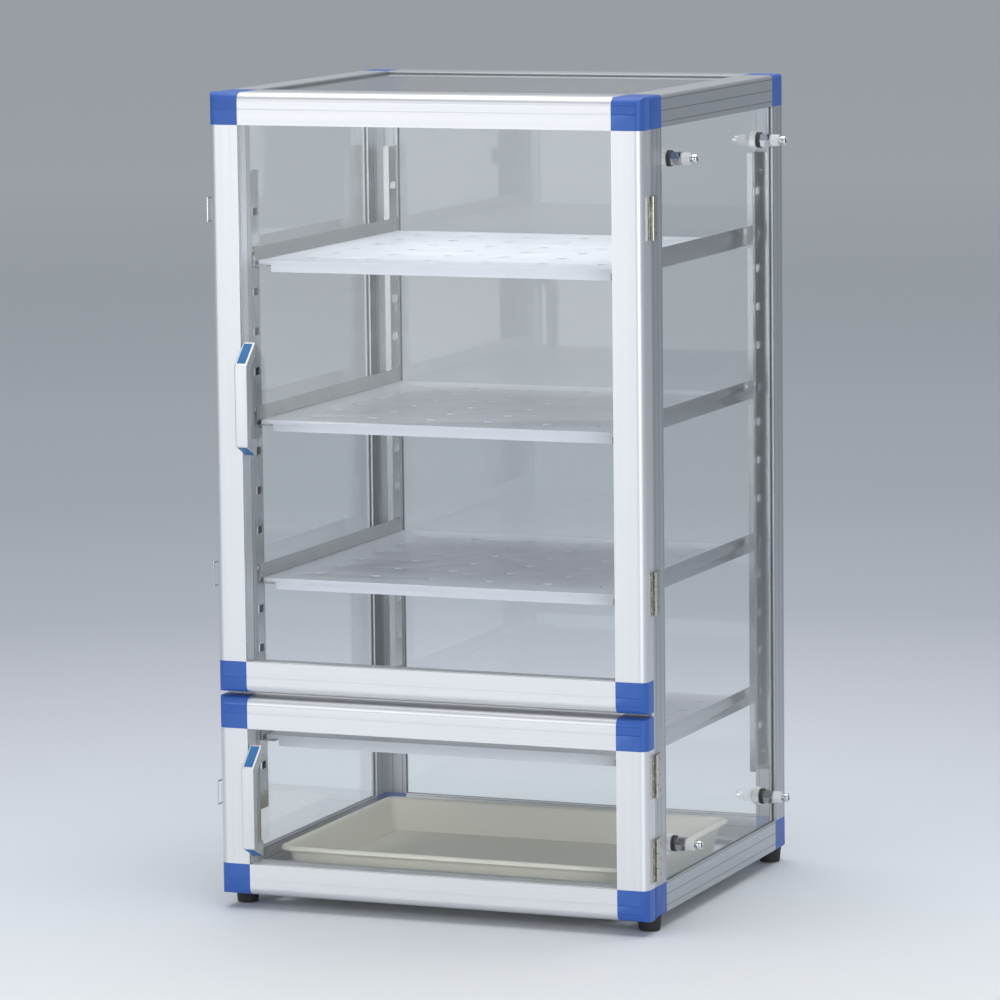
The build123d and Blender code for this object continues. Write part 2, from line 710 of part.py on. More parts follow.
def handle_screws(door):
    """Screws from inside the glass into the handle's posts."""
    x = sum(HANDLE_X) / 2
    back = HANDLE_BASE_Y + DOOR_GLASS
    for level in handle_screw_levels(door):
        shank = rod("y", (x, level), HANDLE_SCREW_R, (HANDLE_BASE_Y - SCREW_LENGTH, back))
        yield shank + rod("y", (x, level), HANDLE_HEAD_R, (back, back + HANDLE_HEAD))


def strike(level):
    """Catch plate on the door's left side face, with the lip that the bail pulls on."""
    outside = -HALF_W
    y = (BODY_FRONT - STRIKE_PLATE[1], BODY_FRONT - STRIKE_PLATE[0])
    z = (level - STRIKE_HALF, level + STRIKE_HALF)
    plate = block((outside - LATCH_SHEET, outside), y, z)
    crossbar = BODY_FRONT + BAIL_PIVOT[1] - BAIL_LENGTH
    lip_front = crossbar + BAIL_WIRE_R + STRIKE_CLEAR
    lip_x = (outside - LATCH_SHEET - STRIKE_LIP, outside)
    return plate + block(lip_x, (lip_front, lip_front + LATCH_SHEET), z)


def make_door(name, door, inset):
    height = door[1] - door[0]
    level = height / 2
    seal = door_seal(height)
    pane_pocket = door_pane(height, DOOR_GLASS_SLACK)

    def finish(piece):
        return piece - seal - pane_pocket

    def flip_up(piece):
        return flip_z(piece, level)

    stile = door_stick("z", (PROFILE, height - PROFILE)) - door_tenon("z", TENON_SLACK)
    stile = finish(stile - flip_up(door_tenon("z", TENON_SLACK)))
    rail = door_stick("x", (PROFILE, WIDTH - PROFILE)) - door_tenon("x", TENON_SLACK)
    middle = Plane(origin=(HALF_W, 0, 0), z_dir=(1, 0, 0))
    rail = finish(rail - mirror(door_tenon("x", TENON_SLACK), about=middle))
    elbow = door_stick("z", (0, PROFILE)) & door_stick("x", (0, PROFILE))
    elbow = finish(elbow + door_tenon("x") + door_tenon("z"))

    left_stile = to_door(stile, door)
    right_stile = flip_x(left_stile)
    screws = []
    leaves = []
    for hinge in hinge_levels(door, inset):
        leaves.append(door_leaf(hinge))
        for screw_z in hinge_screw_levels(hinge):
            at = (door_leaf_screw_y(), screw_z)
            screws.append(screw("x", at, HALF_W + HINGE_LEAF, 1))
            right_stile -= screw_hole("x", at, HALF_W + HINGE_LEAF, 1)
    screws += list(handle_screws(door))

    pane = to_door(door_pane(height), door)
    grip = handle(door)
    for piece in handle_screws(door):
        pane -= piece
        grip -= piece

    save(f"{name}_stiles", left_stile, right_stile)
    save(f"{name}_rails", to_door(rail, door), to_door(flip_up(rail), door))
    elbows = [to_door(elbow, door), to_door(flip_up(elbow), door)]
    save(f"{name}_corner_blocks", *elbows, *[flip_x(piece) for piece in elbows])
    save(f"{name}_glass", pane)
    save(f"{name}_seal", to_door(seal, door))
    save(f"{name}_hinge_leaves", *leaves)
    save(f"{name}_screws", *screws)
    save(f"{name}_handle", grip)
    save(f"{name}_handle_caps", *handle_caps(door))
    strikes = [strike(z) for z in LATCH_LEVELS if door[0] < z < door[1]]
    save(f"{name}_latch_strikes", *strikes)


# ---- Hinge pins, body leaves and the body's screws ----
def make_hinges():
    leaves = []
    pins = []
    half = HINGE_HEIGHT / 2
    for door, inset in DOORS.values():
        for level in hinge_levels(door, inset):
            leaves.append(body_leaf(level))
            pins.append(rod("z", (HINGE_X, HINGE_Y), HINGE_PIN_R, (level - half, level + half)))
    save("hinge_body_leaves", *leaves)
    save("hinge_pins", *pins)


def make_body_screws():
    screws = [screw(*place) for place in body_hinge_screws()]
    for place in pillar_screws():
        screws += on_four_corners(screw(*place))
    save("body_screws", *screws, *on_four_corners(screw(*foot_screw())))


# ---- Latches ----
def latch_axis(place):
    """Vertical axis at a place given out of the side face and behind the body's front face."""
    out, behind = place
    return Axis((-HALF_W - out, BODY_FRONT + behind, 0), (0, 0, 1))


def latch_rod(place, radius, z):
    out, behind = place
    return rod("z", (-HALF_W - out, BODY_FRONT + behind), radius, z)


def latch_base(level):
    outside = -HALF_W
    half = LATCH_HEIGHT / 2
    y = (BODY_FRONT + LATCH_BASE_START, BODY_FRONT + LATCH_BASE_START + LATCH_BASE_LENGTH)
    base = block((outside - LATCH_SHEET, outside), y, (level - half, level + half))
    ear_y = BODY_FRONT + LATCH_PIVOT[1] - LATCH_EAR_LENGTH / 2
    inner = LATCH_EAR_AT
    outer = LATCH_EAR_AT + LATCH_EAR
    for z in ((level - outer, level - inner), (level + inner, level + outer)):
        base += block((outside - LATCH_EAR_OUT, outside), (ear_y, ear_y + LATCH_EAR_LENGTH), z)
    return base + latch_rod(LATCH_PIVOT, LATCH_PIN_R, (level - outer, level + outer))


def latch_lever(level):
    z = (level - LEVER_HALF, level + LEVER_HALF)
    start = BODY_FRONT + LATCH_PIVOT[1]
    x = (-HALF_W - LEVER_LEVEL[1], -HALF_W - LEVER_LEVEL[0])
    lever = block(x, (start, start + LEVER_LENGTH), z)
    lever += latch_rod(LATCH_PIVOT, LEVER_BOSS_R, z) + latch_rod(BAIL_PIVOT, BAIL_BOSS_R, z)
    lever -= latch_rod(LATCH_PIVOT, LATCH_PIN_R + LATCH_RUN, z)
    lever -= latch_rod(BAIL_PIVOT, BAIL_WIRE_R + LATCH_RUN, z)
    return lever.rotate(latch_axis(LATCH_PIVOT), LATCH_REST)


def latch_bail(level):
    """Wire loop on the lever, whose crossbar drops in front of the door's strike."""
    pivot = Vector(0, 0, 0)
    cross = Vector(BAIL_DIP, -BAIL_LENGTH, 0)
    span = (-BAIL_HALF, BAIL_HALF)
    bail = rod("z", (0, 0), BAIL_WIRE_R, span) + rod("z", (cross.X, cross.Y), BAIL_WIRE_R, span)
    for side in span:
        up = Vector(0, 0, side)
        wire = Circle(BAIL_WIRE_R)
        bail += extrude(Plane(origin=up, z_dir=cross) * wire, amount=cross.length)
        for end in (pivot, cross):
            bail += Pos(end + up) * Sphere(BAIL_WIRE_R)
    bail = bail.rotate(Axis.Z, BAIL_RATIO * LATCH_REST)
    bail = Pos(-HALF_W - BAIL_PIVOT[0], BODY_FRONT + BAIL_PIVOT[1], level) * bail
    return bail.rotate(latch_axis(LATCH_PIVOT), LATCH_REST)


def make_latches():
    save("latch_bases", *[latch_base(level) for level in LATCH_LEVELS])
    for number, level in enumerate(LATCH_LEVELS, 1):
        save(f"latch_lever_{number}", latch_lever(level))
        save(f"latch_bail_{number}", latch_bail(level))


# ---- Tube ports ----
def hexagon(across, at, span):
    """Hexagonal bar along X."""
    profile = RegularPolygon(across / 2, 6, major_radius=False)
    start = Plane(origin=(span[0], *at), z_dir=(1, 0, 0))
    return extrude(start * profile, amount=span[1] - span[0])


def port_spans():
    hex_start = PORT_FACE + PORT_RING
    spigot_start = hex_start + PORT_HEX_LENGTH
    return hex_start, spigot_start, spigot_start + PORT_SPIGOT_LENGTH


def make_ports():
    bodies = []
    rings = []
    nuts = []
    hex_start, spigot_start, mouth = port_spans()
    nut_end = PORT_INSIDE - PORT_RING
    hole_r = PORT_STEM_R + PORT_THREAD_GAP
    for number, at in enumerate(PORT_PLACES, 1):
        stem = (hex_start - PORT_STEM_LENGTH, hex_start)
        body = hexagon(PORT_HEX, at, (hex_start, spigot_start)) + rod("x", at, PORT_STEM_R, stem)
        body += rod("x", at, PORT_SPIGOT_R, (spigot_start, mouth))
        body -= rod("x", at, PORT_BORE_R, (stem[0] - PAST, mouth + PAST))
        bodies.append(body)
        for ring in ((PORT_FACE, hex_start), (nut_end, PORT_INSIDE)):
            rings.append(rod("x", at, PORT_RING_R, ring) - rod("x", at, hole_r, ring))
        nut = (nut_end - PORT_NUT_THICK, nut_end)
        nuts.append(hexagon(PORT_NUT, at, nut) - rod("x", at, hole_r, nut))
        collar = (spigot_start + COLLAR_START, spigot_start + COLLAR_START + COLLAR_LENGTH)
        sleeve = rod("x", at, COLLAR_R, collar) - rod("x", at, PORT_SPIGOT_R + COLLAR_RUN, collar)
        save(f"port_collar_{number}", sleeve)
    save("port_bodies", *bodies)
    save("port_gaskets", *rings)
    save("port_nuts", *nuts)


make_body()
make_feet()
make_shelving()
make_tray()
for door_name, (door_span, hinge_inset) in DOORS.items():
    make_door(door_name, door_span, hinge_inset)
make_hinges()
make_body_screws()
make_latches()
make_ports()
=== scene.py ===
# %% [markdown]
# # Glass desiccator cabinet
# The cabinet's frame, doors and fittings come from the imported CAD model. This lesson gives every
# one of them its finish, softens the moulded and extruded edges that a CAD solid leaves knife
# sharp, and models the small turned and moulded fittings afresh.

# %% Load the frame
import json
import math
import bpy
from mathutils import Matrix, Vector


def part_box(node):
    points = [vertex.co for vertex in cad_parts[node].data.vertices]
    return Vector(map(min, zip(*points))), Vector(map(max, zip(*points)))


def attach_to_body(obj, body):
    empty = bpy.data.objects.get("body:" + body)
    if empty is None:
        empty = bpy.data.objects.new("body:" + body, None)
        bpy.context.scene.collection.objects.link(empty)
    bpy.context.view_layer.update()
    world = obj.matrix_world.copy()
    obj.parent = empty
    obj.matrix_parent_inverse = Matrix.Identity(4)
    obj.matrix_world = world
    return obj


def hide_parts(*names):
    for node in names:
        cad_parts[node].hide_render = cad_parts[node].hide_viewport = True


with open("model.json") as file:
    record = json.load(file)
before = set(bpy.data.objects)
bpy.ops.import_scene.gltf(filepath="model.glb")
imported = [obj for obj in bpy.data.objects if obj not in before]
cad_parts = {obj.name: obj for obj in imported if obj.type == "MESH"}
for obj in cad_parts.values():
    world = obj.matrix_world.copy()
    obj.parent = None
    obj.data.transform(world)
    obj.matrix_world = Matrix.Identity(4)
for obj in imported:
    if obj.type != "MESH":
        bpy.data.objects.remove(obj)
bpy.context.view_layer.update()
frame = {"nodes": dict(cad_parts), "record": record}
record = frame["record"]
body_of_node = {
    node: body for body, nodes in record["behaviour"]["bodies"].items() for node in nodes
}
slot_of_node = {part["node"]: part["material_slot"] for part in record["subparts"]}

# %% [markdown]
# ## Camera
# A long lens far from the cabinet keeps its upright edges almost parallel. The view is from the
# right of the doors and a little above the top. The three angles are turned into the camera's own
# axes: right, up and back. The Standard view transform shows each colour as it was set.

# %% Camera
CAMERA_PLACE = Vector((1.945, -4.8553, 1.0722))
CAMERA_TURN = math.radians(21.88)
CAMERA_DOWN = math.radians(7.626)
CAMERA_ROLL = math.radians(-0.639)
CAMERA_LENS = 198.87

level_right = Vector((math.cos(CAMERA_TURN), math.sin(CAMERA_TURN), 0))
forward = Vector((
    -math.sin(CAMERA_TURN) * math.cos(CAMERA_DOWN),
    math.cos(CAMERA_TURN) * math.cos(CAMERA_DOWN),
    -math.sin(CAMERA_DOWN),
))
level_up = level_right.cross(forward)
right = level_right * math.cos(CAMERA_ROLL) + level_up * math.sin(CAMERA_ROLL)
up = level_up * math.cos(CAMERA_ROLL) - level_right * math.sin(CAMERA_ROLL)
camera_data = bpy.data.cameras.new("camera")
camera_data.lens = CAMERA_LENS
camera = bpy.data.objects.new("camera", camera_data)
bpy.context.collection.objects.link(camera)
axes = Matrix((right, up, -forward)).transposed().to_4x4()
camera.matrix_world = Matrix.Translation(CAMERA_PLACE) @ axes
bpy.context.scene.camera = camera
bpy.context.scene.view_settings.view_transform = "Standard"
print("camera at", tuple(round(value, 3) for value in CAMERA_PLACE))

# %% [markdown]
# ## Light
# A glass-walled cabinet is drawn by what it reflects. Large soft panels above, in front and to
# the right put long, quiet highlights on the aluminium, and an even, pale world fills the rest.
# Each row gives a panel's place, its two sides in metres, its power in watts and its colour.

# %% Light
LIT_POINT = (0, 0, 0.4)
WHITE = (1, 1, 1)
COOL_WHITE = (0.97, 0.98, 1.0)
SOFT_PANELS = (
    ("overhead_panel", (0.0, 0.3, 3.6), 3.6, 3.6, 102, WHITE),
    ("front_panel_light", (-1.5, -3.6, 1.1), 2.8, 2.6, 32, WHITE),
    ("right_panel_light", (2.9, -3.9, 1.2), 2.2, 2.2, 58, COOL_WHITE),
)
for name, place, width, height, power, colour in SOFT_PANELS:
    data = bpy.data.lights.new(name, "AREA")
    data.shape = "RECTANGLE"
    data.size, data.size_y = width, height
    data.energy = power
    data.color = colour
    lamp = bpy.data.objects.new(name, data)
    bpy.context.collection.objects.link(lamp)
    lamp.location = place
    lamp.rotation_euler = (Vector(LIT_POINT) - Vector(place)).to_track_quat("-Z", "Y").to_euler()
print("soft panels", len(SOFT_PANELS))

# %% World
WORLD_COLOUR = (0.80, 0.84, 0.90, 1)
WORLD_STRENGTH = 0.45
world = bpy.data.worlds.new("studio")
bpy.context.scene.world = world
world.use_nodes = True
background = world.node_tree.nodes["Background"]
background.inputs["Color"].default_value = WORLD_COLOUR
background.inputs["Strength"].default_value = WORLD_STRENGTH
print("world strength", WORLD_STRENGTH)

# %% [markdown]
# ## Floor
# One wide disc is floor and backdrop in one, with light and shade painted into its colour: a
# painted pool of light, pale under the cabinet, fading to painted grey shade far behind it. The
# fade is worked out from the distance to the cabinet, so it is the same from every side.

# %% Material helpers
def node(tree, kind, **values):
    made = tree.nodes.new(kind)
    for name, value in values.items():
        setattr(made, name, value)
    return made


def bare_material(name):
    material = bpy.data.materials.new(name)
    material.use_nodes = True
    return material, material.node_tree, material.node_tree.nodes["Principled BSDF"]


def ramp(tree, stops, source):
    made = node(tree, "ShaderNodeValToRGB")
    elements = made.color_ramp.elements
    while len(elements) < len(stops):
        elements.new(0.5)
    for element, (place, colour) in zip(elements, stops):
        element.position = place
        element.color = (*colour, 1)
    tree.links.new(source, made.inputs["Fac"])
    return made.outputs["Color"]


print("material helpers ready")

# %% Floor
FLOOR_RADIUS = 60.0
FLOOR_SIDES = 96
FLOOR_PLACE = (0, 0, -0.0005)
FLOOR_ROUGHNESS, FLOOR_GLOSS = 0.6, 0.2
FADE_REACH = 10.0
FADE_MIDDLE = (0.35, -0.9, 0.0)
# Painted light and shade: pale round the cabinet, grey further behind, lighter again far out.
FLOOR_STOPS = (
    (0.06, (0.80, 0.815, 0.835)),
    (0.095, (0.77, 0.80, 0.84)),
    (0.14, (0.67, 0.70, 0.745)),
    (0.20, (0.58, 0.60, 0.655)),
    (0.27, (0.475, 0.50, 0.55)),
    (0.38, (0.49, 0.52, 0.56)),
    (0.50, (0.60, 0.63, 0.67)),
    (1.0, (0.86, 0.89, 0.91)),
)
bpy.ops.object.select_all(action="DESELECT")
bpy.ops.mesh.primitive_circle_add(
    vertices=FLOOR_SIDES, radius=FLOOR_RADIUS, fill_type="NGON", location=FLOOR_PLACE
)
floor = bpy.context.object
floor.name = "studio_floor"
floor_material, tree, shader = bare_material("floor_paper")
coordinates = node(tree, "ShaderNodeTexCoord")
length = node(tree, "ShaderNodeVectorMath", operation="DISTANCE")
length.inputs[1].default_value = FADE_MIDDLE
scaled = node(tree, "ShaderNodeMath", operation="DIVIDE")
scaled.inputs[1].default_value = FADE_REACH
tree.links.new(coordinates.outputs["Object"], length.inputs[0])
tree.links.new(length.outputs["Value"], scaled.inputs[0])
tree.links.new(ramp(tree, FLOOR_STOPS, scaled.outputs[0]), shader.inputs["Base Color"])
shader.inputs["Roughness"].default_value = FLOOR_ROUGHNESS
shader.inputs["Specular IOR Level"].default_value = FLOOR_GLOSS
floor.data.materials.append(floor_material)
print("floor radius", FLOOR_RADIUS)

# %% [markdown]
# ## Shared surface effects
# No real surface is one flat colour. Three node groups carry what the finishes share. The first
# adds a faint mottle, a fine grain that can be stretched along the metal's drawing direction, and
# dust that settles on upward faces. The second paints a highlight along outer edges. The third
# paints shade as dark hairlines in the grooves of an extruded bar.

# %% Group helpers
FLOAT, COLOUR, VECTOR = "NodeSocketFloat", "NodeSocketColor", "NodeSocketVector"


def new_group(name, inputs, outputs):
    group = bpy.data.node_groups.new(name, "ShaderNodeTree")
    for label, kind, value in inputs:
        socket = group.interface.new_socket(name=label, in_out="INPUT", socket_type=kind)
        socket.default_value = value
    for label, kind in outputs:
        group.interface.new_socket(name=label, in_out="OUTPUT", socket_type=kind)
    return group, group.nodes.new("NodeGroupInput"), group.nodes.new("NodeGroupOutput")


def feed(tree, sockets, values):
    """Link each value that is another node's output, and set the others as constants."""
    for socket, value in zip(sockets, values):
        if isinstance(value, bpy.types.NodeSocket):
            tree.links.new(value, socket)
        else:
            socket.default_value = value


def mixed_colour(tree, factor, first, second):
    mix = node(tree, "ShaderNodeMix", data_type="RGBA", blend_type="MIX")
    feed(tree, (mix.inputs["Factor"], mix.inputs[6], mix.inputs[7]), (factor, first, second))
    return mix.outputs[2]


def arithmetic(tree, operation, first, second):
    made = node(tree, "ShaderNodeMath", operation=operation)
    feed(tree, made.inputs, (first, second))
    return made.outputs[0]


print("group helpers ready")

# %% Lived-in surface
MOTTLE_SCALE, MOTTLE_DETAIL = 9.0, 4.0
GRAIN_SCALE, GRAIN_DETAIL = 1.0, 3.0
GRAIN_DARK = (0.12, 0.12, 0.13, 1)
DUST_COLOUR = (0.62, 0.61, 0.58, 1)
DUST_ROUGHNESS = 0.6


def make_surface_group():
    """Colour, roughness and height of a lived-in surface."""
    group, inside, outside = new_group(
        "lived_in_surface",
        (
            ("Vector", VECTOR, (0, 0, 0)), ("Grain Vector", VECTOR, (0, 0, 0)),
            ("Color", COLOUR, (0.8, 0.8, 0.8, 1)), ("Mottle Color", COLOUR, (0.7, 0.7, 0.7, 1)),
            ("Mottle", FLOAT, 0.2), ("Roughness", FLOAT, 0.4), ("Roughness Swing", FLOAT, 0.1),
            ("Grain Shade", FLOAT, 0.0), ("Dust", FLOAT, 0.05),
        ),
        (("Color", COLOUR), ("Roughness", FLOAT), ("Height", FLOAT)),
    )
    cloud = node(group, "ShaderNodeTexNoise")
    cloud.inputs["Scale"].default_value = MOTTLE_SCALE
    cloud.inputs["Detail"].default_value = MOTTLE_DETAIL
    grain = node(group, "ShaderNodeTexNoise")
    grain.inputs["Scale"].default_value = GRAIN_SCALE
    grain.inputs["Detail"].default_value = GRAIN_DETAIL
    link = group.links.new
    link(inside.outputs["Vector"], cloud.inputs["Vector"])
    link(inside.outputs["Grain Vector"], grain.inputs["Vector"])
    mottle = arithmetic(group, "MULTIPLY", cloud.outputs["Fac"], inside.outputs["Mottle"])
    colour = mixed_colour(group, mottle, inside.outputs["Color"], inside.outputs["Mottle Color"])
    shade = arithmetic(group, "MULTIPLY", grain.outputs["Fac"], inside.outputs["Grain Shade"])
    colour = mixed_colour(group, shade, colour, GRAIN_DARK)
    normal = node(group, "ShaderNodeNewGeometry")
    upward = node(group, "ShaderNodeSeparateXYZ")
    link(normal.outputs["Normal"], upward.inputs[0])
    facing_up = arithmetic(group, "MAXIMUM", upward.outputs["Z"], 0.0)
    settled = arithmetic(group, "MULTIPLY", facing_up, inside.outputs["Dust"])
    dust = arithmetic(group, "MULTIPLY", settled, cloud.outputs["Fac"])
    link(mixed_colour(group, dust, colour, DUST_COLOUR), outside.inputs["Color"])
    centred = arithmetic(group, "SUBTRACT", grain.outputs["Fac"], 0.5)
    swing = arithmetic(group, "MULTIPLY", centred, inside.outputs["Roughness Swing"])
    rough = arithmetic(group, "ADD", inside.outputs["Roughness"], swing)
    dusty = arithmetic(group, "MULTIPLY", dust, DUST_ROUGHNESS)
    link(arithmetic(group, "ADD", rough, dusty), outside.inputs["Roughness"])
    link(grain.outputs["Fac"], outside.inputs["Height"])
    return group


surface_group = make_surface_group()
print("group", surface_group.name)

# %% Painted edge highlight
# Painted highlight: convex edges are lightened towards a lighter colour, as if they caught the
# light.
HIGHLIGHT_FROM, HIGHLIGHT_TO = 0.52, 0.62


def make_edge_group():
    """Paints a highlight colour in along outer edges."""
    group, inside, outside = new_group(
        "painted_edge_light",
        (
            ("Color", COLOUR, (0.8, 0.8, 0.8, 1)), ("Worn Color", COLOUR, (1, 1, 1, 1)),
            ("Amount", FLOAT, 0.3),
        ),
        (("Color", COLOUR),),
    )
    geometry = node(group, "ShaderNodeNewGeometry")
    edge = node(group, "ShaderNodeMapRange")
    edge.inputs["From Min"].default_value = HIGHLIGHT_FROM
    edge.inputs["From Max"].default_value = HIGHLIGHT_TO
    group.links.new(geometry.outputs["Pointiness"], edge.inputs["Value"])
    amount = arithmetic(group, "MULTIPLY", edge.outputs[0], inside.outputs["Amount"])
    edge_highlight_colour = mixed_colour(group, amount, inside.outputs["Color"], inside.outputs["Worn Color"])
    group.links.new(edge_highlight_colour, outside.inputs["Color"])
    return group


edge_group = make_edge_group()
print("group", edge_group.name)

# %% Painted groove shade
# Painted shade: hairlines of this dark colour stand for the shade in the bar's grooves.
LINE_SHARE = 0.09
GROOVE_SHADE_COLOUR = (0.10, 0.11, 0.12, 1)


def make_groove_group():
    """Painted groove shade: dark hairlines at an even pitch on both sides of the middle."""
    group, inside, outside = new_group(
        "painted_groove_shade",
        (("Vector", VECTOR, (0, 0, 0)), ("Pitch", VECTOR, (0.01, 0.01, 0.01)),
         ("Color", COLOUR, (0.8, 0.8, 0.8, 1)), ("Shade", FLOAT, 0.3)),
        (("Color", COLOUR),),
    )
    shares = node(group, "ShaderNodeVectorMath", operation="DIVIDE")
    group.links.new(inside.outputs["Vector"], shares.inputs[0])
    group.links.new(inside.outputs["Pitch"], shares.inputs[1])
    split = node(group, "ShaderNodeSeparateXYZ")
    group.links.new(shares.outputs[0], split.inputs[0])
    line = 0.0
    for axis in "XYZ":
        from_middle = arithmetic(group, "ABSOLUTE", split.outputs[axis], 0.0)
        part = arithmetic(group, "FRACT", from_middle, 0.0)
        on_line = arithmetic(group, "GREATER_THAN", part, 1 - LINE_SHARE)
        line = arithmetic(group, "MAXIMUM", on_line, line)
    amount = arithmetic(group, "MULTIPLY", line, inside.outputs["Shade"])
    dark = mixed_colour(group, amount, inside.outputs["Color"], GROOVE_SHADE_COLOUR)
    group.links.new(dark, outside.inputs["Color"])
    return group


groove_group = make_groove_group()
print("groups", [group.name for group in bpy.data.node_groups])

# %% [markdown]
# ## Finishes
# Each finish is one Principled shader fed by the first two groups, and by the third where the bar
# has grooves, with their shade painted in. The grain's stretch is what tells drawn aluminium from
# moulded plastic: long streaks run along a bar, while plastic has an even, fine texture.

# %% Finish builder
LINE_SHADE = 0.55


def group_node(tree, group, **values):
    made = node(tree, "ShaderNodeGroup", node_tree=group)
    for label, value in values.items():
        made.inputs[label.replace("_", " ")].default_value = value
    return made


def finish(name, colour, mottle_colour, grain_scale, roughness, metallic=0.0, mottle=0.3, swing=0.1,
           grain_shade=0.0, dust=0.05, bump=0.1, bump_distance=0.00005, edge_highlight_colour=None, edge_highlight=0.0,
           specular=0.5, grooves=None):
    material, tree, shader = bare_material(name)
    coordinates = node(tree, "ShaderNodeTexCoord")
    stretch = node(tree, "ShaderNodeMapping")
    stretch.inputs["Scale"].default_value = grain_scale
    tree.links.new(coordinates.outputs["Object"], stretch.inputs["Vector"])
    surface = group_node(
        tree, surface_group, Color=(*colour, 1), Mottle_Color=(*mottle_colour, 1), Mottle=mottle,
        Roughness=roughness, Roughness_Swing=swing, Grain_Shade=grain_shade, Dust=dust,
    )
    tree.links.new(coordinates.outputs["Object"], surface.inputs["Vector"])
    tree.links.new(stretch.outputs[0], surface.inputs["Grain Vector"])
    # Painted highlight along outer edges, in the lighter edge colour.
    edge = group_node(tree, edge_group, Worn_Color=(*(edge_highlight_colour or colour), 1), Amount=edge_highlight)
    relief = node(tree, "ShaderNodeBump")
    relief.inputs["Strength"].default_value = bump
    relief.inputs["Distance"].default_value = bump_distance
    tree.links.new(surface.outputs["Color"], edge.inputs["Color"])
    tree.links.new(edge.outputs["Color"], shader.inputs["Base Color"])
    tree.links.new(surface.outputs["Roughness"], shader.inputs["Roughness"])
    tree.links.new(surface.outputs["Height"], relief.inputs["Height"])
    # Painted shade in the bar's grooves, where it has them.
    if grooves:
        lines = group_node(tree, groove_group, Pitch=grooves, Shade=LINE_SHADE)
        tree.links.new(coordinates.outputs["Object"], lines.inputs["Vector"])
        tree.links.new(edge.outputs["Color"], lines.inputs["Color"])
        tree.links.new(lines.outputs["Color"], shader.inputs["Base Color"])
    tree.links.new(relief.outputs["Normal"], shader.inputs["Normal"])
    shader.inputs["Metallic"].default_value = metallic
    shader.inputs["Specular IOR Level"].default_value = specular
    return material


print("finish builder ready")

# %% [markdown]
# ## Clear sheets
# A clear sheet bends light as glass does, has a faint haze in patches, and lets lamps through so
# that the cabinet's inside isn't black.

# %% Clear sheet builder
SHEET_TINT = (0.97, 0.985, 0.985)
SHADOW_TINT = (0.93, 0.95, 0.95, 1)
HAZE_FROM, HAZE_TO = 0.45, 0.8
SMUDGE_SCALE, SMUDGE_DETAIL = 7.0, 5.0


def clear_sheet(name, roughness, ior):
    """Clear sheet that lets lamps through, so that what it encloses isn't in its shadow."""
    material, tree, shader = bare_material(name)
    shader.inputs["Base Color"].default_value = (*SHEET_TINT, 1)
    shader.inputs["Transmission Weight"].default_value = 1.0
    shader.inputs["IOR"].default_value = ior
    smudge = node(tree, "ShaderNodeTexNoise")
    smudge.inputs["Scale"].default_value = SMUDGE_SCALE
    smudge.inputs["Detail"].default_value = SMUDGE_DETAIL
    coordinates = node(tree, "ShaderNodeTexCoord")
    haze = node(tree, "ShaderNodeMapRange")
    haze.inputs["From Min"].default_value = HAZE_FROM
    haze.inputs["From Max"].default_value = HAZE_TO
    haze.inputs["To Max"].default_value = roughness
    tree.links.new(coordinates.outputs["Object"], smudge.inputs["Vector"])
    tree.links.new(smudge.outputs["Fac"], haze.inputs["Value"])
    tree.links.new(haze.outputs[0], shader.inputs["Roughness"])
    passing = node(tree, "ShaderNodeBsdfTransparent")
    passing.inputs["Color"].default_value = SHADOW_TINT
    path = node(tree, "ShaderNodeLightPath")
    mix = node(tree, "ShaderNodeMixShader")
    tree.links.new(path.outputs["Is Shadow Ray"], mix.inputs[0])
    tree.links.new(shader.outputs[0], mix.inputs[1])
    tree.links.new(passing.outputs[0], mix.inputs[2])
    tree.links.new(mix.outputs[0], tree.nodes["Material Output"].inputs["Surface"])
    return material


print("clear sheet builder ready")

# %% Aluminium finishes
UPRIGHT_GRAIN = (900, 900, 3)
LEVEL_GRAIN = (3, 3, 900)
LINE_PITCH = 0.0105
FAR = 1000.0
# The lighter edge colour and its amount in the finishes below are a painted highlight along outer
# edges.
SATIN = dict(
    colour=(0.79, 0.80, 0.82), mottle_colour=(0.70, 0.71, 0.74), roughness=0.42, metallic=0.9,
    swing=0.16, grain_shade=0.10, bump=0.12, edge_highlight_colour=(0.95, 0.95, 0.96), edge_highlight=0.25,
)
# Painted reflection: the body's lined bars get a darker, bluer copy of the satin aluminium,
# standing for the dark reflection on their faces.
PAINTED_REFLECTION_SATIN = {
    **SATIN, "colour": (0.545, 0.565, 0.59), "mottle_colour": (0.49, 0.51, 0.54),
    "edge_highlight_colour": (0.80, 0.81, 0.83),
}
satin_upright = finish("satin_aluminium_upright", grain_scale=UPRIGHT_GRAIN, **SATIN)
satin_level = finish("satin_aluminium_level", grain_scale=LEVEL_GRAIN, **SATIN)
lined_painted_reflection_upright = finish(
    "lined_aluminium_painted_reflection_upright", grain_scale=UPRIGHT_GRAIN, grooves=(LINE_PITCH, LINE_PITCH, FAR),
    **PAINTED_REFLECTION_SATIN,
)
lined_painted_reflection_level = finish(
    "lined_aluminium_painted_reflection_level", grain_scale=LEVEL_GRAIN, grooves=(FAR, FAR, LINE_PITCH), **PAINTED_REFLECTION_SATIN,
)
print("aluminium finishes 4")

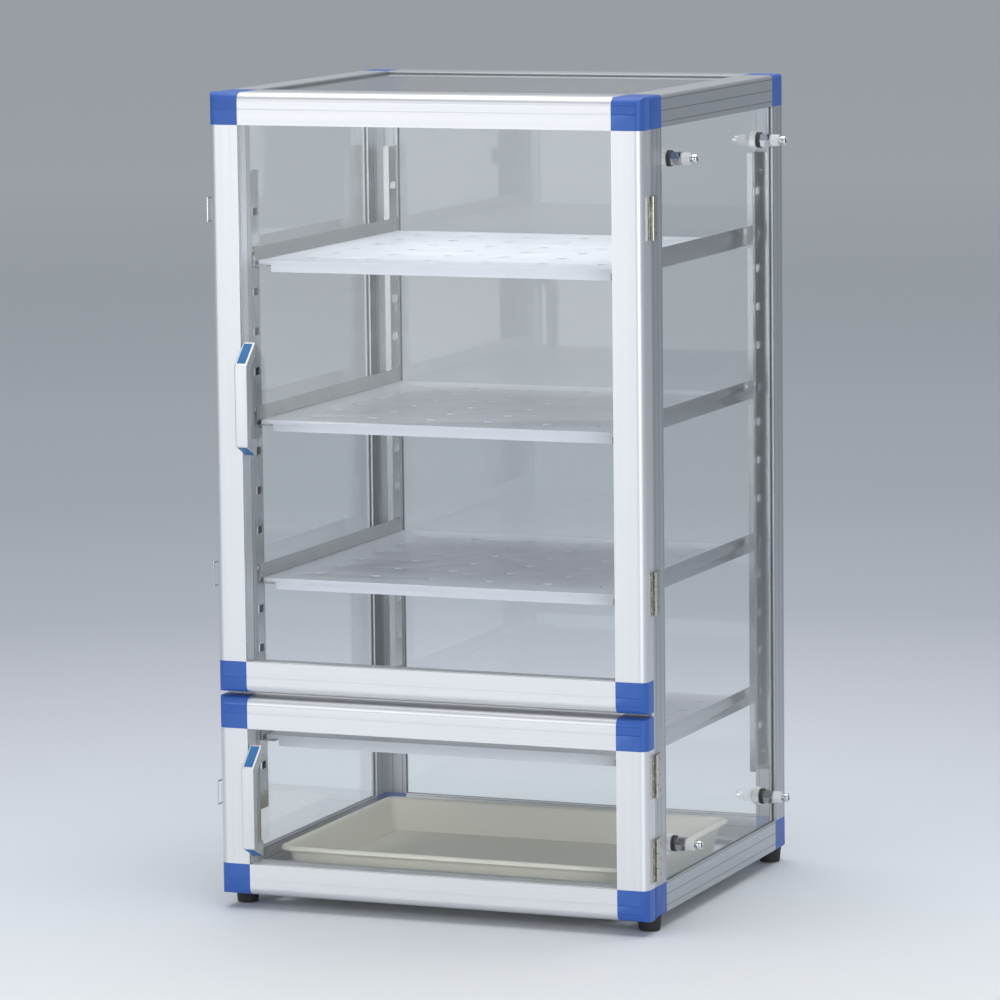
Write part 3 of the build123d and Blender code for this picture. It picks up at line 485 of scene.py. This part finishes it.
# %% Steel and chrome finishes
# The lighter edge colour and its amount are a painted highlight along outer edges.
ROLLED = dict(
    metallic=1.0, swing=0.10, grain_shade=0.08, bump=0.03, edge_highlight_colour=(0.7, 0.7, 0.7), edge_highlight=0.3,
)
bright_steel = finish(
    "bright_rolled_steel", (0.40, 0.41, 0.41), (0.34, 0.35, 0.35), (3, 3, 700), 0.17, **ROLLED,
)
level_steel = finish(
    "bright_rolled_strip", (0.36, 0.37, 0.38), (0.30, 0.31, 0.32), (700, 3, 700), 0.20, **ROLLED,
)
plated_steel = finish(
    "nickel_plate", (0.46, 0.45, 0.41), (0.36, 0.35, 0.32), (300, 300, 300), 0.16,
    metallic=1.0, mottle=0.5, bump=0.1, edge_highlight_colour=(0.78, 0.77, 0.72), edge_highlight=0.5, dust=0.05,
)
chrome_plate = finish(
    "chrome_plate", (0.78, 0.79, 0.80), (0.70, 0.71, 0.73), (200, 200, 200), 0.07,
    metallic=1.0, swing=0.05, bump=0.03,
)
print("steel and chrome finishes 4")

# %% Moulded finishes
# The lighter edge colour and its amount are a painted highlight along outer edges.
blue_moulding = finish(
    "blue_moulding", (0.022, 0.095, 0.40), (0.03, 0.12, 0.46), (700, 700, 700), 0.38,
    mottle=0.5, swing=0.12, bump=0.25, edge_highlight_colour=(0.12, 0.24, 0.62), edge_highlight=0.5, dust=0.04,
    specular=0.35,
)
cap_moulding = finish(
    "cap_moulding", (0.004, 0.125, 0.36), (0.01, 0.15, 0.40), (700, 700, 700), 0.34,
    mottle=0.4, swing=0.1, bump=0.15, edge_highlight_colour=(0.08, 0.26, 0.52), edge_highlight=0.4, dust=0.04,
    specular=0.35,
)
shelf_plastic = finish(
    "shelf_plastic", (0.64, 0.65, 0.71), (0.59, 0.60, 0.67), (500, 500, 500), 0.30,
    swing=0.05, bump=0.04, edge_highlight_colour=(0.9, 0.9, 0.93), edge_highlight=0.3, dust=0.08,
)
tray_plastic = finish(
    "tray_plastic", (0.82, 0.79, 0.68), (0.74, 0.71, 0.60), (420, 420, 420), 0.42,
    mottle=0.5, bump=0.2, edge_highlight_colour=(0.84, 0.82, 0.72), edge_highlight=0.4, dust=0.15,
)
white_moulding = finish(
    "white_moulding", (0.80, 0.80, 0.80), (0.74, 0.74, 0.74), (500, 500, 500), 0.35,
    bump=0.1, dust=0.08,
)
print("moulded finishes 5")

# %% Rubber and clear finishes
# The lighter edge colour and its amount are a painted highlight along outer edges.
black_rubber = finish(
    "black_rubber", (0.012, 0.012, 0.013), (0.03, 0.03, 0.03), (350, 350, 350), 0.62,
    mottle=0.6, bump=0.4, edge_highlight_colour=(0.06, 0.06, 0.06), edge_highlight=0.6, dust=0.25,
)
grey_rubber = finish(
    "grey_rubber", (0.20, 0.21, 0.22), (0.26, 0.27, 0.28), (350, 350, 350), 0.55,
    mottle=0.5, bump=0.3, dust=0.15,
)
clear_panel = clear_sheet("clear_panel", 0.03, 1.49)
door_glass = clear_sheet("door_glass", 0.02, 1.5)
print("materials", len(bpy.data.materials))

# %% [markdown]
# ## Softened edges
# Extrusions and mouldings have small rounded edges, and those edges catch the light. Each such
# CAD node is copied, its loose triangles are merged and its flat faces joined, and a narrow bevel
# rounds what is left. The copy replaces the node and rides on the same body.

# %% Softened edges
BEVEL_ANGLE = math.radians(32)
BEVEL_SEGMENTS = 2
SMOOTH_ANGLE = math.radians(34)
FLAT_ANGLE = math.radians(20)
JOIN_ANGLE = math.radians(0.5)
MERGE_DISTANCE = 0.000002


def only(piece):
    bpy.ops.object.select_all(action="DESELECT")
    piece.select_set(True)
    bpy.context.view_layer.objects.active = piece


def attach(piece, material, body, slot, *replaced):
    piece.data.materials.clear()
    piece.data.materials.append(material)
    if replaced:
        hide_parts(*replaced)
    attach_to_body(piece, body)


def softened(name, width, material):
    piece = bpy.data.objects.new(f"{name}_finished", frame["nodes"][name].data.copy())
    bpy.context.collection.objects.link(piece)
    only(piece)
    bpy.ops.object.mode_set(mode="EDIT")
    bpy.ops.mesh.select_all(action="SELECT")
    bpy.ops.mesh.remove_doubles(threshold=MERGE_DISTANCE)
    bpy.ops.mesh.dissolve_limited(angle_limit=JOIN_ANGLE)
    bpy.ops.object.mode_set(mode="OBJECT")
    bevel = piece.modifiers.new("bevel", "BEVEL")
    bevel.width = width
    bevel.segments = BEVEL_SEGMENTS
    bevel.limit_method = "ANGLE"
    bevel.angle_limit = BEVEL_ANGLE
    bpy.ops.object.modifier_apply(modifier="bevel")
    bpy.ops.object.shade_smooth_by_angle(angle=FLAT_ANGLE)
    attach(piece, material, body_of_node[name], slot_of_node[name], name)


print("edge softening ready")

# %% [markdown]
# Each kind of piece has its own edge: a wide one on mouldings, a narrow one on sheet metal, and
# the narrowest on the door bars, whose fine grooves have to stay sharp. Widths are in metres.

# %% Softened pieces
MOULDED, NUT, EXTRUDED = 0.0006, 0.0004, 0.0003
SHEET, LEAF, DOOR_BAR = 0.0002, 0.00015, 0.00012
DOORS = ("upper_door", "lower_door")
soft_nodes = {
    "front_posts": (EXTRUDED, lined_painted_reflection_upright), "rear_posts": (EXTRUDED, lined_painted_reflection_upright),
    "top_rails": (EXTRUDED, lined_painted_reflection_level), "bottom_rails": (EXTRUDED, lined_painted_reflection_level),
    "middle_rail": (EXTRUDED, satin_level), "body_corner_blocks": (MOULDED, blue_moulding),
    "shelf_pillars": (SHEET, bright_steel), "left_brackets": (SHEET, level_steel),
    "right_brackets": (SHEET, level_steel),
    "latch_bases": (SHEET, chrome_plate),
}
for door in DOORS:
    soft_nodes[f"{door}_stiles"] = (DOOR_BAR, satin_upright)
    soft_nodes[f"{door}_rails"] = (DOOR_BAR, satin_level)
    soft_nodes[f"{door}_corner_blocks"] = (MOULDED, blue_moulding)
    soft_nodes[f"{door}_handle"] = (EXTRUDED, satin_upright)
    soft_nodes[f"{door}_handle_caps"] = (SHEET, cap_moulding)
    soft_nodes[f"{door}_hinge_leaves"] = (LEAF, plated_steel)
    soft_nodes[f"{door}_latch_strikes"] = (SHEET, chrome_plate)
for number in range(1, 5):
    soft_nodes[f"shelf_{number}"] = (EXTRUDED, shelf_plastic)
for number in range(1, 4):
    soft_nodes[f"latch_lever_{number}"] = (SHEET, chrome_plate)
soft_nodes["hinge_body_leaves"] = (LEAF, plated_steel)
soft_nodes["port_nuts"] = (NUT, white_moulding)
for name, (width, material) in soft_nodes.items():
    softened(name, width, material)
print("softened", len(soft_nodes))

# %% [markdown]
# ## Turned and moulded fittings
# Feet, ports, collars and screws are round parts, so each is drawn out like work on a lathe:
# a ring starts at one end, and is extruded and resized from one station of its outline to the
# next. The outline is a list of (radius, height) stations in millimetres. It is made once at the
# origin, and copies take the places of the CAD solids.

# %% Lathe work
MM = 0.001


def turned(name, outline, sides=48):
    """Ring drawn out along Z through the outline; an outline that ends where it began is hollow."""
    bpy.ops.object.select_all(action="DESELECT")
    radius, height = outline[0]
    bpy.ops.mesh.primitive_circle_add(vertices=sides, radius=radius * MM, fill_type="NOTHING")
    piece = bpy.context.object
    piece.name = piece.data.name = name
    bpy.ops.object.mode_set(mode="EDIT")
    bpy.ops.mesh.select_all(action="SELECT")
    bpy.ops.transform.translate(value=(0, 0, height * MM))
    for next_radius, next_height in outline[1:]:
        bpy.ops.mesh.extrude_region_move(
            TRANSFORM_OT_translate={"value": (0, 0, (next_height - height) * MM)}
        )
        growth = next_radius / radius
        level = next_height * MM
        bpy.ops.transform.resize(value=(growth, growth, 1), center_override=(0, 0, level))
        radius, height = next_radius, next_height
    bpy.ops.mesh.select_all(action="SELECT")
    bpy.ops.mesh.remove_doubles(threshold=MERGE_DISTANCE)
    bpy.ops.mesh.fill_holes(sides=0)
    bpy.ops.mesh.select_all(action="SELECT")
    bpy.ops.mesh.normals_make_consistent(inside=False)
    bpy.ops.object.mode_set(mode="OBJECT")
    return piece


print("lathe ready")

# %% Cutting and joining shapes
def cut(piece, tool, operation):
    """Combine two closed shapes and remove the tool."""
    only(piece)
    boolean = piece.modifiers.new("cut", "BOOLEAN")
    boolean.operation = operation
    boolean.solver = "EXACT"
    boolean.use_self = True
    boolean.object = tool
    bpy.ops.object.modifier_apply(modifier="cut")
    bpy.data.objects.remove(tool, do_unlink=True)


print("cutting ready")

# %% Where the CAD solids are
def solid_boxes(name):
    """Lowest corner, highest corner and points of each solid in a node, from a copy taken apart."""
    whole = bpy.data.objects.new("taking_apart", frame["nodes"][name].data.copy())
    bpy.context.collection.objects.link(whole)
    only(whole)
    bpy.ops.object.mode_set(mode="EDIT")
    bpy.ops.mesh.select_all(action="SELECT")
    bpy.ops.mesh.remove_doubles(threshold=MERGE_DISTANCE)
    bpy.ops.mesh.separate(type="LOOSE")
    bpy.ops.object.mode_set(mode="OBJECT")
    found = []
    for part in list(bpy.context.selected_objects):
        points = [vertex.co.copy() for vertex in part.data.vertices]
        low = Vector([min(point[axis] for point in points) for axis in range(3)])
        high = Vector([max(point[axis] for point in points) for axis in range(3)])
        found.append((low, high, points))
        bpy.data.objects.remove(part, do_unlink=True)
    return sorted(found, key=lambda one: tuple(round(value, 4) for value in one[0]))


print("solid finder ready")

# %% Setting copies down
AS_MADE = Matrix.Identity(4)
TO_RIGHT = Matrix.Rotation(math.radians(90), 4, "Y")


def set_down(name, model, places):
    """Copies of a model, each with its own mesh, moved and turned to their places and joined."""
    copies = []
    for place, turn in places:
        one = bpy.data.objects.new(name, model.data.copy())
        bpy.context.collection.objects.link(one)
        one.data.transform(Matrix.Translation(place) @ turn)
        copies.append(one)
    bpy.ops.object.select_all(action="DESELECT")
    for one in copies:
        one.select_set(True)
    bpy.context.view_layer.objects.active = copies[0]
    if len(copies) > 1:
        bpy.ops.object.join()
    copies[0].name = copies[0].data.name = name
    bpy.ops.object.shade_smooth_by_angle(angle=SMOOTH_ANGLE)
    return copies[0]


print("copies can be set down")

# %% [markdown]
# ## Feet
# A moulded rubber foot tapers towards the floor, has a small radius round its sole and a step
# under the frame. The hollow in the sole holds the screw's head.

# %% Feet
FOOT_OUTLINE = [
    (4.0, 0.0), (9.2, 0.0), (9.7, 0.3), (10.0, 1.0), (10.35, 5.0), (10.75, 10.2), (10.55, 10.5),
    (10.6, 11.0), (11.0, 11.4), (11.2, 11.8), (11.25, 13.0), (1.26, 13.0), (1.26, 7.0), (4.0, 7.0),
    (4.0, 0.0),
]
foot_model = turned("foot_model", FOOT_OUTLINE)
foot_places = [(Vector(((low.x + high.x) / 2, (low.y + high.y) / 2, low.z)), AS_MADE)
               for low, high, _ in solid_boxes("feet")]
feet = set_down("rubber_feet", foot_model, foot_places)
bpy.data.objects.remove(foot_model, do_unlink=True)
attach(feet, black_rubber, "root", slot_of_node["feet"], "feet")
print("feet", len(foot_places), "faces", len(feet.data.polygons))

# %% [markdown]
# ## Tube ports
# Each port is turned from hexagonal bar: the hexagon keeps its flats for a spanner, and its
# corners are turned away in a chamfer. The stem has a thread, and the spigot has a groove that
# holds the tube. A real chamfer is a cone cutting a hexagon, so the hexagon is cut with a turned
# disc, and joined to the turned stem and spigot.

# %% Port outlines
PORT_LONG = 39.0
HEX_NEAR, HEX_FAR = -25.0, -15.0
HEX_CORNER = 6.0 / math.cos(math.radians(30))
DISC_RADIUS = HEX_CORNER + 0.1
THREAD_TURNS, THREAD_PITCH = 4, 0.8
BORE_RADIUS, MOUTH_RADIUS, BORE_SIDES = 2.0, 2.9, 32
threads = []
for step in range(THREAD_TURNS):
    rise = THREAD_PITCH * step
    threads += [(4.7, -38.6 + rise), (5.0, -38.4 + rise), (5.0, -38.1 + rise)]
PORT_OUTLINE = [(4.5, -PORT_LONG)] + threads + [
    (5.0, HEX_NEAR + 1), (4.2, HEX_NEAR + 1), (4.2, -6.2), (3.6, -5.8), (3.6, -4.8), (4.2, -4.4),
    (4.2, -1.0), (3.8, -0.2), (3.5, 0.0),
]
HEX_OUTLINE = [(HEX_CORNER, HEX_NEAR), (HEX_CORNER, HEX_FAR)]
DISC_OUTLINE = [
    (6.15, HEX_NEAR), (DISC_RADIUS, HEX_NEAR + 0.5), (DISC_RADIUS, HEX_FAR - 0.7), (5.9, HEX_FAR),
]
BORE_OUTLINE = [
    (BORE_RADIUS, -PORT_LONG - 1), (BORE_RADIUS, -0.8), (MOUTH_RADIUS, 0.1), (MOUTH_RADIUS, 1.0),
]
print("port outline stations", len(PORT_OUTLINE))

# %% Tube ports
port_model = turned("port_model", HEX_OUTLINE, sides=6)
cut(port_model, turned("chamfer_tool", DISC_OUTLINE), "INTERSECT")
cut(port_model, turned("stem_tool", PORT_OUTLINE), "UNION")
cut(port_model, turned("bore_tool", BORE_OUTLINE, BORE_SIDES), "DIFFERENCE")
port_places = [(Vector((high.x, (low.y + high.y) / 2, (low.z + high.z) / 2)), TO_RIGHT)
               for low, high, _ in solid_boxes("port_bodies")]
ports = set_down("turned_ports", port_model, port_places)
bpy.data.objects.remove(port_model, do_unlink=True)
attach(ports, chrome_plate, "root", slot_of_node["port_bodies"], "port_bodies")
print("ports", len(port_places), "faces", len(ports.data.polygons))

# %% [markdown]
# ## Locking collars
# The white collar slides along the spigot. Its outside is fluted for the fingers: every face of
# its middle band is inset by itself and pushed in.

# %% Locking collars
COLLAR_OUTLINE = [
    (4.26, 0.0), (5.0, 0.0), (5.5, 0.6), (5.5, 7.4), (5.0, 8.0), (4.26, 8.0), (4.26, 0.0),
]
COLLAR_SIDES = 28
UPRIGHT_FACE = 0.1
INSIDE_RADIUS = 0.005
FLUTE_MARGIN, FLUTE_DEPTH = 0.0002, 0.00025
collar_model = turned("collar_model", COLLAR_OUTLINE, sides=COLLAR_SIDES)
for face in collar_model.data.polygons:
    outside_face = Vector(face.center[:2]).length > INSIDE_RADIUS
    face.select = abs(face.normal.z) < UPRIGHT_FACE and outside_face
only(collar_model)
bpy.ops.object.mode_set(mode="EDIT")
bpy.ops.mesh.inset(use_individual=True, thickness=FLUTE_MARGIN, depth=-FLUTE_DEPTH)
bpy.ops.object.mode_set(mode="OBJECT")
for number in range(1, 5):
    low, high = (Vector(corner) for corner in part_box(f"port_collar_{number}"))
    place = Vector((low.x, (low.y + high.y) / 2, (low.z + high.z) / 2))
    collar = set_down(f"locking_collar_{number}", collar_model, [(place, TO_RIGHT)])
    attach(collar, white_moulding, body_of_node[f"port_collar_{number}"],
           slot_of_node[f"port_collar_{number}"], f"port_collar_{number}")
bpy.data.objects.remove(collar_model, do_unlink=True)
print("collars 4")

# %% [markdown]
# ## Screws
# A pan-head screw has a domed head with a cross recess. One is turned and its recess cut; the
# copies are set down wherever the CAD has a screw. The end where the solid is wider is its head.
# Radii, lengths and head heights are in millimetres.

# %% Screw model
SCREW_SIDES = 24


def screw_model(name, shank, length, head, tall):
    """Turned screw with its seat at the origin and its head upwards."""
    outline = [
        (shank * 0.7, -length), (shank, -length + 0.4), (shank, 0.0), (head, 0.0),
        (head, tall * 0.35), (head * 0.86, tall * 0.75), (head * 0.5, tall * 0.97),
        (head * 0.2, tall),
    ]
    model = turned(name, outline, sides=SCREW_SIDES)
    for turn in (0, 90):
        bpy.ops.mesh.primitive_cube_add(size=1)
        bar = bpy.context.object
        size = Matrix.Diagonal((head * 1.2 * MM, head * 0.26 * MM, tall * 1.1 * MM, 1))
        lift = Matrix.Translation((0, 0, tall * MM))
        bar.data.transform(lift @ Matrix.Rotation(math.radians(turn), 4, "Z") @ size)
        cut(model, bar, "DIFFERENCE")
    return model


small_screw = screw_model("small_screw", 1.25, 5.0, 2.2, 1.0)
handle_screw = screw_model("handle_screw", 2.0, 8.0, 4.0, 2.0)
print("screw faces", len(small_screw.data.polygons), len(handle_screw.data.polygons))

# %% Screw places
SMALL_HEADS, GRIP_HEADS = 3, 6
HEAD_TALL = {SMALL_HEADS: 1.0, GRIP_HEADS: 2.0}
WIDTH_BAND = 3
END_DEPTH = 0.0001
HEAD_SHARE = 0.45


def screw_places(name, heads_wider_than):
    """Seat and turn of each screw: its long side is its axis, and its head is at the wider end."""
    places = []
    for low, high, points in solid_boxes(name):
        size = high - low
        axis = max(range(3), key=lambda index: size[index])
        across = [index for index in range(3) if index != axis]
        wide = size[across[0]] / MM
        if not heads_wider_than < wide < heads_wider_than + WIDTH_BAND:
            continue
        middle = (low + high) / 2
        top = [point for point in points if point[axis] > high[axis] - END_DEPTH]
        reach = max(math.hypot(*(point[index] - middle[index] for index in across))
                    for point in top)
        towards = 1 if reach > HEAD_SHARE * wide * MM else -1
        seat = middle.copy()
        head_tall = HEAD_TALL[heads_wider_than] * MM
        seat[axis] = high[axis] - head_tall if towards > 0 else low[axis] + head_tall
        direction = Vector([towards if index == axis else 0 for index in range(3)])
        turn = Vector((0, 0, 1)).rotation_difference(direction).to_matrix().to_4x4()
        places.append((seat, turn))
    return places


print("screw finder ready")

# %% Screws
body_places = screw_places("body_screws", SMALL_HEADS)
body_screws = set_down("body_cross_head_screws", small_screw, body_places)
attach(body_screws, plated_steel, "root", slot_of_node["body_screws"], "body_screws")
print("body screws", len(body_places))
for door in DOORS:
    hinge_places = screw_places(f"{door}_screws", SMALL_HEADS)
    grip_places = screw_places(f"{door}_screws", GRIP_HEADS)
    hinge_part = set_down(f"{door}_hinge_screws", small_screw, hinge_places)
    grip_part = set_down(f"{door}_grip_screws", handle_screw, grip_places)
    bpy.ops.object.select_all(action="DESELECT")
    hinge_part.select_set(True)
    grip_part.select_set(True)
    bpy.context.view_layer.objects.active = hinge_part
    bpy.ops.object.join()
    attach(hinge_part, plated_steel, body_of_node[f"{door}_screws"], slot_of_node[f"{door}_screws"],
           f"{door}_screws")
    print(door, "screws", len(hinge_places), "and", len(grip_places))
for model in (small_screw, handle_screw):
    bpy.data.objects.remove(model, do_unlink=True)

# %% [markdown]
# ## Drying-agent tray
# The tray is a deep-drawn moulding: rounded corners, sloping walls, a soft bend into its floor
# and a rim that turns out and down. It is drawn up from its floor: a rectangle's corners are
# rounded, its outline is extruded up and out, a Solidify modifier gives the wall its thickness,
# and a Bevel modifier softens the bends.

# %% Tray sizes
TRAY_RIM = 0.004
TRAY_SLOPE = math.tan(math.radians(12))
tray_low, tray_high = (Vector(corner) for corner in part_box("tray"))
tray_middle = (tray_low + tray_high) / 2
tray_size = tray_high - tray_low
tall = tray_size.z
mouth_x = tray_size.x - 2 * TRAY_RIM
mouth_y = tray_size.y - 2 * TRAY_RIM
floor_x = mouth_x - 2 * tall * TRAY_SLOPE
floor_y = mouth_y - 2 * tall * TRAY_SLOPE
print("tray floor", round(floor_x, 4), round(floor_y, 4))

# %% [markdown]
# A station is a width, a depth and a level. The first is the mouth under the rim, the next three
# bend the rim over, and the last two turn it down.

# %% Tray stations
top = tray_high.z
centre = (tray_middle.x, tray_middle.y, tray_low.z)
stations = [
    (mouth_x, mouth_y, top - 0.0022),
    (mouth_x + 0.0006, mouth_y + 0.0006, top - 0.0010),
    (mouth_x + 0.0020, mouth_y + 0.0020, top),
    (tray_size.x - 0.0020, tray_size.y - 0.0020, top),
    (tray_size.x - 0.0004, tray_size.y - 0.0004, top - 0.0008),
    (tray_size.x, tray_size.y, top - 0.0030),
]
print("tray stations", len(stations))

# %% Tray floor and sides
CORNER_RADIUS, CORNER_SEGMENTS = 0.010, 8
bpy.ops.object.select_all(action="DESELECT")
bpy.ops.mesh.primitive_plane_add(size=1)
tray = bpy.context.object
tray.name = tray.data.name = "drying_agent_tray"
tray.data.transform(Matrix.Translation(centre) @ Matrix.Diagonal((floor_x, floor_y, 1, 1)))
bpy.ops.object.mode_set(mode="EDIT")
bpy.ops.mesh.select_all(action="SELECT")
bpy.ops.mesh.bevel(offset=CORNER_RADIUS, segments=CORNER_SEGMENTS, affect="VERTICES")
bpy.ops.mesh.select_all(action="SELECT")
bpy.ops.mesh.region_to_loop()
wide_x, wide_y, level = floor_x, floor_y, tray_low.z
for next_x, next_y, next_level in stations:
    bpy.ops.mesh.extrude_region_move(
        TRANSFORM_OT_translate={"value": (0, 0, next_level - level)}
    )
    bpy.ops.transform.resize(
        value=(next_x / wide_x, next_y / wide_y, 1), center_override=centre
    )
    wide_x, wide_y, level = next_x, next_y, next_level
bpy.ops.mesh.select_all(action="SELECT")
bpy.ops.mesh.normals_make_consistent(inside=False)
bpy.ops.object.mode_set(mode="OBJECT")
print("tray faces", len(tray.data.polygons))

# %% [markdown]
# The wall is thickened towards the inside, so that the tray's outside keeps its size.

# %% Tray wall
WALL = 0.0016
BEND_WIDTH, BEND_SEGMENTS = 0.0022, 4
BEND_ANGLE = math.radians(50)
thick = tray.modifiers.new("wall", "SOLIDIFY")
thick.thickness = WALL
thick.offset = -1 if tray.data.polygons[0].normal.z < 0 else 1
bends = tray.modifiers.new("bends", "BEVEL")
bends.width = BEND_WIDTH
bends.segments = BEND_SEGMENTS
bends.limit_method = "ANGLE"
bends.angle_limit = BEND_ANGLE
only(tray)
for modifier in ("wall", "bends"):
    bpy.ops.object.modifier_apply(modifier=modifier)
bpy.ops.object.shade_smooth_by_angle(angle=BEND_ANGLE)
attach(tray, tray_plastic, body_of_node["tray"], slot_of_node["tray"], "tray")
tray_box = [tuple(round(value, 4) for value in corner) for corner in (tray_low, tray_high)]
print("tray box", tray_box, "faces", len(tray.data.polygons))

# %% [markdown]
# ## Nodes that stay as they are
# Flat sheets, seals and thin wires need no softening. They keep their CAD meshes and only get
# their finishes.

# %% Finishes of the nodes that stay as they are
kept_nodes = {
    "top_panel": clear_panel, "bottom_panel": clear_panel, "left_panel": clear_panel,
    "right_panel": clear_panel, "rear_panel": clear_panel, "panel_gaskets": grey_rubber,
    "hinge_pins": plated_steel, "port_gaskets": black_rubber,
}
for door in DOORS:
    kept_nodes[f"{door}_glass"] = door_glass
    kept_nodes[f"{door}_seal"] = black_rubber
for number in range(1, 4):
    kept_nodes[f"latch_bail_{number}"] = chrome_plate
for name, material in kept_nodes.items():
    piece = frame["nodes"][name]
    for material_slot in piece.material_slots:
        material_slot.material = material
print("kept nodes", len(kept_nodes), "of", len(frame["nodes"]))
